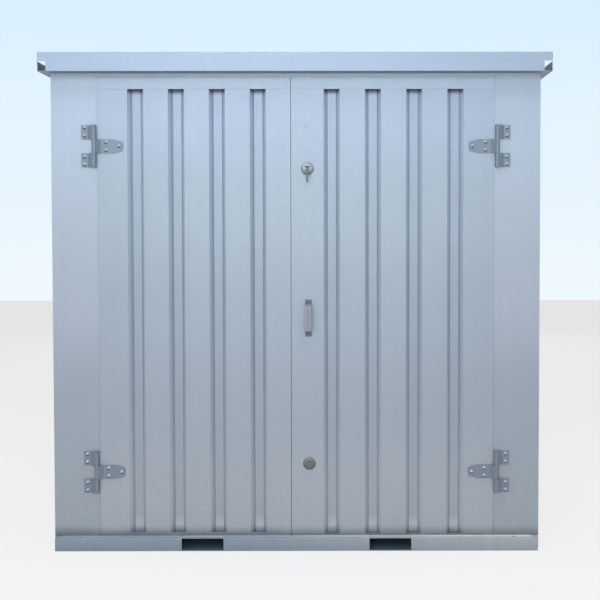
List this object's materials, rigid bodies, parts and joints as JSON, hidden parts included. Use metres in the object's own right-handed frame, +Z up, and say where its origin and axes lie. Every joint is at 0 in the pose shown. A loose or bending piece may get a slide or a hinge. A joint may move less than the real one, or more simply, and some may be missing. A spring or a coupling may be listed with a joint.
{
  "type": "flat-pack galvanised steel storage container with double doors",
  "caption": "Square galvanised steel store with ribbed walls, two outward hinged ribbed doors, corner posts, fork pockets and a guttered flat roof.",
  "frame": {"origin": "on the ground under the middle of the overall outline", "axes": "+X to the right of the doors, +Y from the doors to the back, +Z up"},
  "size_m": [2.177, 2.17, 2.135],
  "materials": {
    "galvanised_sheet": "spangled zinc coating, satin",
    "galvanised_frame": "zinc coating, satin",
    "roof_trim": "zinc coating, satin, slightly brighter",
    "base_steel": "zinc coating, dull",
    "hinge_zinc": "zinc plated, dull",
    "floor_ply": "film-faced plywood, matt",
    "lock_nickel": "nickel plated, satin",
    "lock_steel": "zinc plated, dull",
    "handle_aluminium": "satin anodised"
  },
  "bodies": {
    "frame": {"base_front_sill": "base_steel", "base_rear_sill": "base_steel", "base_left_rail": "base_steel", "base_right_rail": "base_steel", "fork_pocket_left": "base_steel", "fork_pocket_right": "base_steel", "floor_joists": "base_steel", "floor_board_front": "floor_ply", "floor_board_rear": "floor_ply", "post_front_left": "galvanised_frame", "post_front_right": "galvanised_frame", "post_rear_left": "galvanised_frame", "post_rear_right": "galvanised_frame", "left_wall_front": "galvanised_sheet", "left_wall_rear": "galvanised_sheet", "right_wall_front": "galvanised_sheet", "right_wall_rear": "galvanised_sheet", "rear_wall_left": "galvanised_sheet", "rear_wall_right": "galvanised_sheet", "front_header": "galvanised_frame", "rear_header": "galvanised_frame", "left_top_rail": "galvanised_frame", "right_top_rail": "galvanised_frame", "roof_purlins": "galvanised_frame", "roof_sheet_front": "galvanised_sheet", "roof_sheet_rear": "galvanised_sheet", "roof_gutter_left": "roof_trim", "roof_gutter_right": "roof_trim", "roof_front_fascia": "roof_trim", "roof_rear_fascia": "roof_trim", "hinge_plate_upper_left": "hinge_zinc", "hinge_plate_lower_left": "hinge_zinc", "hinge_plate_upper_right": "hinge_zinc", "hinge_plate_lower_right": "hinge_zinc"},
    "left_door": {"left_door_sheet": "galvanised_sheet", "left_door_frame": "galvanised_frame", "left_door_bolts": "lock_steel", "hinge_strap_upper_left": "hinge_zinc", "hinge_strap_lower_left": "hinge_zinc"},
    "right_door": {"right_door_sheet": "galvanised_sheet", "right_door_frame": "galvanised_frame", "upper_lock_rose": "lock_nickel", "lower_lock_rose": "lock_nickel", "upper_lock_body": "lock_steel", "lower_lock_body": "lock_steel", "lock_keys": "lock_nickel", "pull_handle": "handle_aluminium", "hinge_strap_upper_right": "hinge_zinc", "hinge_strap_lower_right": "hinge_zinc"}
  },
  "joints": [
    {"name": "left_door_hinge", "type": "hinge", "parent": "frame", "child": "left_door", "pos_m": [-0.8635, -1.034, 0.336], "axis": [0, 0, -1], "range_deg": [0, 180]},
    {"name": "right_door_hinge", "type": "hinge", "parent": "frame", "child": "right_door", "pos_m": [0.8635, -1.034, 0.336], "axis": [0, 0, 1], "range_deg": [0, 180]}
  ]
}
